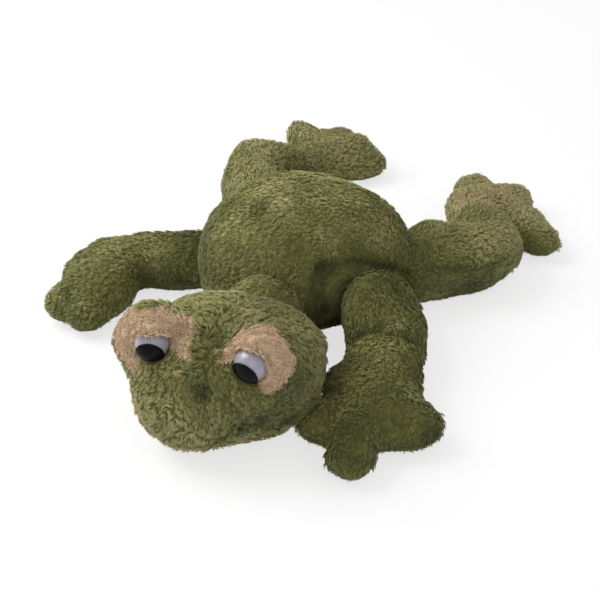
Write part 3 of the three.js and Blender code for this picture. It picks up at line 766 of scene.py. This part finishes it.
def kindOf(panel):
    for ending, kind in kindEndings.items():
        if panel.endswith(ending):
            return kind
    return "head" if panel.startswith("head") else "torso"


def alongCloth(directions, normals):
    return unit(directions - normals * np.sum(directions * normals, axis=1, keepdims=True))


def combDirections(places, normals, panel):
    look = combLook
    count = len(places)
    if panel.startswith("head") or panel.endswith("Patch"):
        local = toHead(places)
        flow = np.zeros((count, 3))
        side = np.tanh(local[:, 0] / look["parting"])
        front = np.clip((-local[:, 1] - look["muzzleFrom"]) / look["muzzleOver"], 0, 1)
        flow[:, 0] = side * (1 - look["muzzleSide"] * front)
        flow[:, 1] = look["backward"] * (1 - front) - look["forward"]
        flow[:, 2] = -look["drop"] - front
        flow = flow @ headAxes.T
    elif panel.startswith("torso") or panel == "neck":
        flow = np.tile(look["torso"], (count, 1)).astype(float)
        flow[:, 0] += places[:, 0] / look["halfWidth"] * look["torsoSide"]
    else:
        mark = marks["left" if panel.startswith("left") else "right"]
        if panel.endswith(("Shoulder", "Hand")):
            along = unit(mark["elbow"] - mark["shoulder"])
        elif panel.endswith(("Hip", "Knee")):
            along = unit(mark["knee"] - mark["hip"])
        else:
            along = np.array(look["foot"])
        flow = np.tile(along + np.array(look["limbDrop"]), (count, 1))
    return alongCloth(flow, normals)


# Lighter and darker places in the pile, in mm: whose axes, the place, how far round it, and how much. Some of
# them are painted light and shade, as marked
tints = {
    "muzzle": ("headAxes", (-18, -45, -12), 20, 0.16),
    "jaw": ("headAxes", (-12, -40, -26), 14, 0.14),
    "lip": ("headAxes", (24, -40, -22), 11, 0.2),
    "cheekRight": ("headAxes", (-36, -38, -8), 12, 0.12),
    "browLeft": ("headAxes", (18, -8, 36), 16, 0.1),
    # painted shade on the left cheek, the side away from the light
    "cheekLeft": ("headAxes", (48, -20, 0), 20, -0.14),
    "kneeLeft": ("frame", (84, 72, 40), 26, 0.26),
    # painted shade under the left knee
    "kneeLeftUnder": ("frame", (84, 56, 16), 18, -0.2),
    "thighLeft": ("frame", (66, 42, 38), 15, -0.12),
    "toeLeft": ("frame", (99, 131, 12), 12, -0.42),
    "footLeft": ("frame", (58, 140, 28), 24, 0.08),
    "shoulderLeft": ("frame", (68, -16, 42), 12, -0.1),
    "fingerLeft": ("frame", (136, -80, 16), 5, -0.3),
    "elbowRight": ("frame", (-122, -58, 26), 14, 0.16),
    "upperArmRight": ("frame", (-76, -30, 20), 16, -0.12),
    "torsoRight": ("frame", (-34, -20, 70), 9, -0.16),
    # painted light on the top of the torso
    "torsoTop": ("frame", (0, 4, 78), 30, 0.08),
    # painted shade in the left armpit, between the arm and the torso
    "armpitLeft": ("frame", (40, -38, 48), 14, -0.2),
}
# how much lighter or darker the pile of a whole panel is
panelTones = {
    "leftShoulder": -0.08, "leftHand": -0.08, "leftHip": -0.04, "leftKnee": 0.06, "leftFoot": 0.31,
    "rightShoulder": -0.08, "rightHand": -0.04, "rightHip": 0.08, "rightKnee": 0.12, "rightFoot": 0.17,
}
# clouds: the scale of each noise, where it is taken, and how much it does
toneLook = {
    # painted light: the pile is lighter where it faces up and darker where it faces down
    "patch": 0.26, "patchScatter": 0.10, "mean": 0.5, "scatter": 0.05, "upward": 0.10, "darker": 0.04,
    "clouds": [(30, (0, 0, 0), 0.24), (70, (5, 1, 8), 0.20), (150, (0, 0, 0), 0.10)],
    "parting": 0.22, "partingWidth": 0.008, "partingFrom": 0.01, "partingOver": 0.02,
    # painted light on the right side of the head's front and painted shade on its left
    "head": 0.09, "headSide": 0.06, "headHalf": 0.04, "chin": 0.22, "foldSpread": 1.1,
}


def pileTones(places, normals, panel):
    # tint of each clump: 0 is dark green, 1 is tan
    look = toneLook
    if panel.endswith("Patch"):
        return look["patch"] + scatter(look["patchScatter"], len(places))
    tones = np.full(len(places), look["mean"])
    for scale, offset, amount in look["clouds"]:
        tones += amount * np.array([noise.noise(Vector(place) * scale + Vector(offset)) for place in places])
    tones += scatter(look["scatter"], len(places))
    # painted light and shade: lighter where the pile faces up, darker where it faces down
    tones += look["upward"] * np.clip(normals[:, 2], -1, 1) - look["darker"]
    if panel.startswith("head"):
        local = toHead(places)
        front = local[:, 1] < 0
        rising = np.clip((local[:, 2] + look["partingFrom"]) / look["partingOver"], 0, 1)
        parting = np.exp(-(local[:, 0] / look["partingWidth"]) ** 2) * rising
        tones -= look["parting"] * parting * front
        # the front of the head is lighter overall, with painted light on its right side and painted shade on
        # its left
        tones += look["head"] + look["headSide"] * np.clip(-local[:, 0] / look["headHalf"], -1, 1) * front
    if panel == "headChin":
        tones += look["chin"]
    tones += panelTones.get(panel, 0)
    for scope, place, reach, tone in tints.values():
        place = np.array(place) / 1000
        if scope == "headAxes":
            place = fromHead(place)[0]
        near = np.linalg.norm(places - place, axis=1) / (reach / 1000)
        tones += tone * np.exp(-near ** 2)
    # painted shade: the pile is darker along the folds and seams
    for path, width, depth, dark in laidFolds:
        tones -= dark * foldStrength(places, path, width * look["foldSpread"])
    return tones


def pileRoots(panel):
    # random roots over the panel, fewer under it, with the cloth's normals there, and the panel's area
    look = pileLook
    chosen = faceCorners[(facePanels == panel) & (faceDepths < look["deepest"])]
    corners = np.concatenate([chosen[:, [0, 1, 2]], chosen[:, [0, 2, 3]]])
    a, b, c = (points[corners[:, k]] for k in range(3))
    cross = np.cross(b - a, c - a)
    areas = np.linalg.norm(cross, axis=1) / 2
    middle = (a + b + c) / 3
    under = (unit(cross)[:, 2] < look["underFacing"]) & (middle[:, 2] < look["lowHeight"])
    weights = areas * np.where(under, look["underShare"], 1.0)
    count = int(weights.sum() * look["perArea"])
    pick = chance.choice(len(corners), count, p=weights / weights.sum())
    one, two = chance.random(count), chance.random(count)
    flip = one + two > 1
    one[flip], two[flip] = 1 - one[flip], 1 - two[flip]
    shares = np.stack([1 - one - two, one, two], axis=1)[:, :, None]
    roots = (points[corners[pick]] * shares).sum(axis=1)
    normals = unit((skinNormals[corners[pick]] * shares).sum(axis=1))
    return roots, normals, areas.sum()


def offEyes(ring):
    # fibres that would lie over a ball go round it
    look = eyePileLook
    for eye in eyes.values():
        away = ring - eye["centre"]
        height = away @ eye["out"]
        aside = away - height[:, None] * eye["out"]
        radius = eyeLook["radius"] + eyeLook["pupilThickness"] + look["offBall"]
        near = (np.linalg.norm(away, axis=1) < radius + look["near"]) & (height > -look["behind"])
        hooded = near & (away @ eye["up"] > eye["hood"] - look["hoodEdge"])
        ring[hooded] = eye["centre"] + unit(away[hooded]) * (radius + look["overHood"])
        near = near & ~hooded
        rise = eye["out"] * np.minimum(height[near], look["rimHeight"])[:, None]
        ring[near] = eye["centre"] + unit(aside[near]) * (radius + look["offRim"]) + rise


def growPile(panel):
    look = {**pileLook, **pileKinds[kindOf(panel)]}
    roots, normals, area = pileRoots(panel)
    count = len(roots)

    # clumps
    ways = clumpLook
    clumpCount = max(ways["fewest"], int(area / ways["spacing"] ** 2))
    seeds = chance.choice(count, min(clumpCount, count), replace=False)
    tree = KDTree(len(seeds))
    for k, seed in enumerate(seeds):
        tree.insert(roots[seed], k)
    tree.balance()
    clump = np.array([tree.find(root)[1] for root in roots])
    clumpRoots, clumpNormals = roots[seeds], normals[seeds]
    clumpTones = pileTones(clumpRoots, clumpNormals, panel)
    clumpComb = combDirections(clumpRoots, clumpNormals, panel)
    spots = [Vector(place) * ways["swayScale"] for place in clumpRoots]
    sway = np.array([[noise.noise(spot + Vector((7 * k, 3, 1))) for k in range(3)] for spot in spots])
    clumpComb = clumpComb + ways["sway"] * sway + scatter(ways["combScatter"], clumpComb.shape)
    clumpComb = alongCloth(clumpComb, clumpNormals)
    clumpLength = 1 + scatter(ways["lengthScatter"], len(seeds))
    clumpLift = np.clip(look["lift"] + scatter(ways["liftScatter"], len(seeds)), *ways["lifts"])

    # fibres
    ways = fibreLook
    varied = clumpLength[clump] + scatter(ways["lengthScatter"], count)
    long = look["length"] * np.clip(varied, *ways["lengths"])
    if panel == "headTop":
        local = toHead(roots)
        inTuft = (local[:, 1] < 0) * (local[:, 1] > tuftLook["front"]) * (local[:, 2] > tuftLook["above"])
        tuft = np.exp(-(local[:, 0] / tuftLook["width"]) ** 2) * inTuft
        long = long * (1 + tuftLook["longer"] * tuft)
        clumpLift = clumpLift + tuftLook["lift"] * tuft[seeds]
    low = (normals[:, 2] < look["lowFacing"]) & (roots[:, 2] < look["lowHeight"])
    half = np.where(low, long * look["lowLength"], long)[:, None] * 0.5
    comb = alongCloth(clumpComb[clump] + scatter(ways["combScatter"], (count, 3)), normals)
    lift = clumpLift[clump][:, None]
    middles = roots + unit(normals * (lift + ways["rootLift"]) + comb * (1 - lift)) * half
    tips = middles + unit(normals * lift * ways["tipLift"] + comb) * half
    pull = np.clip(look["clumping"] + scatter(ways["pullScatter"], count), *ways["pulls"])[:, None]
    fromSeed = roots - clumpRoots[clump]
    goalMiddles = middles[seeds][clump] + fromSeed * ways["middleSpread"]
    goalTips = tips[seeds][clump] + fromSeed * ways["tipSpread"]
    middles = middles + (goalMiddles - middles) * pull * ways["middlePull"]
    tips = tips + (goalTips - tips) * pull
    tones = clumpTones[clump] + scatter(ways["toneScatter"], count)
    roots = roots - normals * look["sunk"]
    for ring in (middles, tips):
        ring[:, 2] = np.maximum(ring[:, 2], look["floor"])
        offEyes(ring)
    for number, start in enumerate(range(0, count, look["mostPerPiece"])):
        part = slice(start, start + look["mostPerPiece"])
        addFibres(f"{panel}Pile{number + 1}", panel, roots[part], middles[part], tips[part], tones[part])
    return count


# a fibre is a closed spindle: its root, three corners round its middle, and its tip
fibreCorners = np.array([0, 2, 1, 0, 3, 2, 0, 1, 3, 1, 2, 4, 2, 3, 4, 3, 1, 4])
fibreAcross, fibreUp = np.array([0.5, 0.2, 0.5, 0.8, 0.5]), np.array([0.03, 0.5, 0.5, 0.5, 0.97])


def addFibres(name, panel, roots, middles, tips, tones):
    look = pileLook
    count = len(roots)
    along = unit(tips - roots)
    aside = unit(np.cross(along, chance.standard_normal((count, 3))))
    over = np.cross(aside, along)
    radius = look["radius"] * (look["thinnest"] + look["thicker"] * chance.random(count))[:, None]
    rings = [roots]
    for k in range(3):
        angle = 2 * math.pi * k / 3
        rings.append(middles + (aside * math.cos(angle) + over * math.sin(angle)) * radius)
    rings.append(tips)
    places = np.stack(rings, axis=1).reshape(-1, 3)
    loops = (fibreCorners[None, :] + len(rings) * np.arange(count)[:, None]).ravel()
    starts = np.arange(0, len(loops), 3)
    mesh = bpy.data.meshes.new(name)
    mesh.vertices.add(len(places))
    mesh.vertices.foreach_set("co", places.astype(np.float32).ravel())
    mesh.loops.add(len(loops))
    mesh.loops.foreach_set("vertex_index", loops.astype(np.int32))
    mesh.polygons.add(len(starts))
    mesh.polygons.foreach_set("loop_start", starts.astype(np.int32))
    mesh.update(calc_edges=True)
    column = np.clip((tones * look["columns"]).astype(int), 1, look["columns"] - 2)
    across = (column[:, None] + fibreAcross[fibreCorners][None, :]) / look["columns"]
    flat = np.stack([across, np.tile(fibreUp[fibreCorners], (count, 1))], axis=2)
    layer = mesh.uv_layers.new(name="OFBake")
    layer.data.foreach_set("uv", flat.astype(np.float32).ravel())
    mesh.shade_smooth()
    thing = addObject(name, mesh, panels[panel]["slot"])
    follow(thing, panel)


fibreCount = 0
for panel in panels:
    grown = growPile(panel)
    fibreCount += grown
    print("pile", panel, grown)
print("fibres", fibreCount)


# Eyeballs, pupils and washers

def turned(name, profile, axes, centre, material):
    # profile: (radius, height along the eye's own axis)
    sides = eyeLook["sides"]
    form = bmesh.new()
    rings = []
    for radius, height in profile:
        if radius < 1e-7:
            rings.append([form.verts.new(centre + axes[:, 2] * height)])
            continue
        ring = []
        for k in range(sides):
            angle = 2 * math.pi * k / sides
            spot = centre + axes[:, 0] * radius * math.cos(angle) + axes[:, 1] * radius * math.sin(angle)
            ring.append(form.verts.new(spot + axes[:, 2] * height))
        rings.append(ring)
    for low, high in zip(rings, rings[1:]):
        for k in range(sides):
            # on the axis a ring is a single corner
            after = (k + 1) % sides
            corners = [low[k % len(low)], low[after % len(low)], high[after % len(high)], high[k % len(high)]]
            form.faces.new(tuple(dict.fromkeys(corners)))
    bmesh.ops.recalc_face_normals(form, faces=form.faces)
    mesh = bpy.data.meshes.new(name)
    form.to_mesh(mesh)
    form.free()
    mesh.shade_smooth()
    return addObject(name, mesh, material)


def arcSpots(radius, angle, counts, steps):
    # spots on an arc from the eye's axis to the angle
    return [(radius * math.sin(angle * k / steps), radius * math.cos(angle * k / steps)) for k in counts]


for name, side in limbSides.items():
    look = eyeLook
    centre = eyes[name]["centre"]
    radius = look["radius"]
    arc = arcSpots(radius, math.pi, range(look["arcSteps"] + 1), look["arcSteps"])
    rim = math.sqrt(radius ** 2 - look["back"] ** 2)
    ballProfile = [spot for spot in arc if spot[1] > -look["back"]]
    shank, shankEnd = look["shankRadius"], -look["back"] - look["shankLength"]
    ballProfile += [(rim, -look["back"]), (shank, -look["back"])]
    for rib in range(ribLook["count"]):
        top = shankEnd + ribLook["spacing"] * (ribLook["count"] - rib)
        ballProfile += [(shank, top + ribLook["above"]), (shank + ribLook["proud"], top)]
        ballProfile += [(shank, top - ribLook["below"])]
    ballProfile += [(shank, shankEnd), (0, shankEnd)]
    ballPiece = turned(name + "Eyeball", ballProfile, eyeAxes(side, look["droop"]), centre, "eyeWhite")
    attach(ballPiece, "head")
    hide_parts(name + "_eyeball")
    inner, outer = radius + look["seat"], radius + look["gap"] + look["pupilThickness"]
    between = (inner + outer) / 2
    edge = math.asin(look["pupilRadius"] / (radius + look["gap"]))
    steps = look["pupilSteps"]
    capProfile = arcSpots(inner, edge, range(steps + 1), steps)
    capProfile += [(between * math.sin(edge), between * math.cos(edge))]
    capProfile += arcSpots(outer, edge * look["pupilRounding"], range(steps, -1, -1), steps)
    capAxes = eyeAxes(side, look["droop"] + look["pupilDrop"])
    cap = turned(name + "Pupil", capProfile, capAxes, centre, "pupilBlack")
    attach(cap, "head")
    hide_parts(name + "_pupil")
    washer = nodes[name + "_eye_washer"]
    washer.data.materials.clear()
    washer.data.materials.append(materials["washerPlastic"])
print("eyes made")


# Floor, lights and camera

studio = {
    "floor": 6.0, "floorGlow": 0.7, "world": 0.62,
    "key": 12.0, "keyPlace": (-0.75, -0.35, 0.95), "keySize": 0.8,
    "fill": 3.0, "fillPlace": (0.9, -0.9, 0.8), "fillSize": 1.2,
}


def addLamp(name, place, size, power):
    data = bpy.data.lights.new(name, "AREA")
    data.size = size
    data.energy = power
    lamp = bpy.data.objects.new(name, data)
    lamp.location = place
    lamp.rotation_euler = (-Vector(place)).to_track_quat("-Z", "Y").to_euler()
    bpy.context.scene.collection.objects.link(lamp)


def mixForCamera(tree, plainOutput, seenOutput, amount, goal):
    # the camera sees the second output by the amount, and all other light meets the first
    path = tree.nodes.new("ShaderNodeLightPath")
    portion = tree.nodes.new("ShaderNodeMath")
    portion.operation = "MULTIPLY"
    portion.inputs[1].default_value = amount
    mixing = tree.nodes.new("ShaderNodeMixShader")
    tree.links.new(path.outputs["Is Camera Ray"], portion.inputs[0])
    tree.links.new(portion.outputs["Value"], mixing.inputs["Fac"])
    tree.links.new(plainOutput, mixing.inputs[1])
    tree.links.new(seenOutput, mixing.inputs[2])
    tree.links.new(mixing.outputs["Shader"], goal.inputs["Surface"])


addLamp("keyLamp", studio["keyPlace"], studio["keySize"], studio["key"])
addLamp("fillLamp", studio["fillPlace"], studio["fillSize"], studio["fill"])

half = studio["floor"] / 2
floorMesh = bpy.data.meshes.new("floor")
floorCorners = [(-half, -half, 0), (half, -half, 0), (half, half, 0), (-half, half, 0)]
floorMesh.from_pydata(floorCorners, [], [(0, 1, 2, 3)])
materials["paleFloor"], tree, shader = newMaterial("paleFloor")
setInputs(shader, {"Base Color": (0.94, 0.94, 0.94, 1), "Roughness": 0.9, "Specular IOR Level": 0.1})
glow = tree.nodes.new("ShaderNodeEmission")
output = tree.nodes["Material Output"]
mixForCamera(tree, shader.outputs["BSDF"], glow.outputs["Emission"], studio["floorGlow"], output)
floor = addObject("floor", floorMesh, "paleFloor")

world = bpy.data.worlds.new("studio")
world.use_nodes = True
tree = world.node_tree
dim, bright = tree.nodes["Background"], tree.nodes.new("ShaderNodeBackground")
for background, strength in ((dim, studio["world"]), (bright, 1)):
    setInputs(background, {"Color": (1, 1, 1, 1), "Strength": strength})
mixForCamera(tree, dim.outputs["Background"], bright.outputs["Background"], 1, tree.nodes["World Output"])
bpy.context.scene.world = world

# pixels: the focal length in pixels of a picture of this width
cameraLook = {
    "azimuth": 34.9, "elevation": 33.6, "distance": 0.8, "target": (-0.0035, 0.0035, 0),
    "pixels": 1269.8, "width": 600, "sensor": 36,
}
azimuth, elevation = math.radians(cameraLook["azimuth"]), math.radians(cameraLook["elevation"])
level = math.cos(elevation)
sight = Vector((-math.sin(azimuth) * level, math.cos(azimuth) * level, -math.sin(elevation)))
data = bpy.data.cameras.new("camera")
data.sensor_width = cameraLook["sensor"]
data.sensor_fit = "HORIZONTAL"
data.lens = cameraLook["sensor"] * cameraLook["pixels"] / cameraLook["width"]
camera = bpy.data.objects.new("camera", data)
camera.location = Vector(cameraLook["target"]) - sight * cameraLook["distance"]
camera.rotation_euler = sight.to_track_quat("-Z", "Y").to_euler()
bpy.context.scene.collection.objects.link(camera)
bpy.context.scene.camera = camera
bpy.context.scene.view_settings.view_transform = "Standard"
print("studio made")
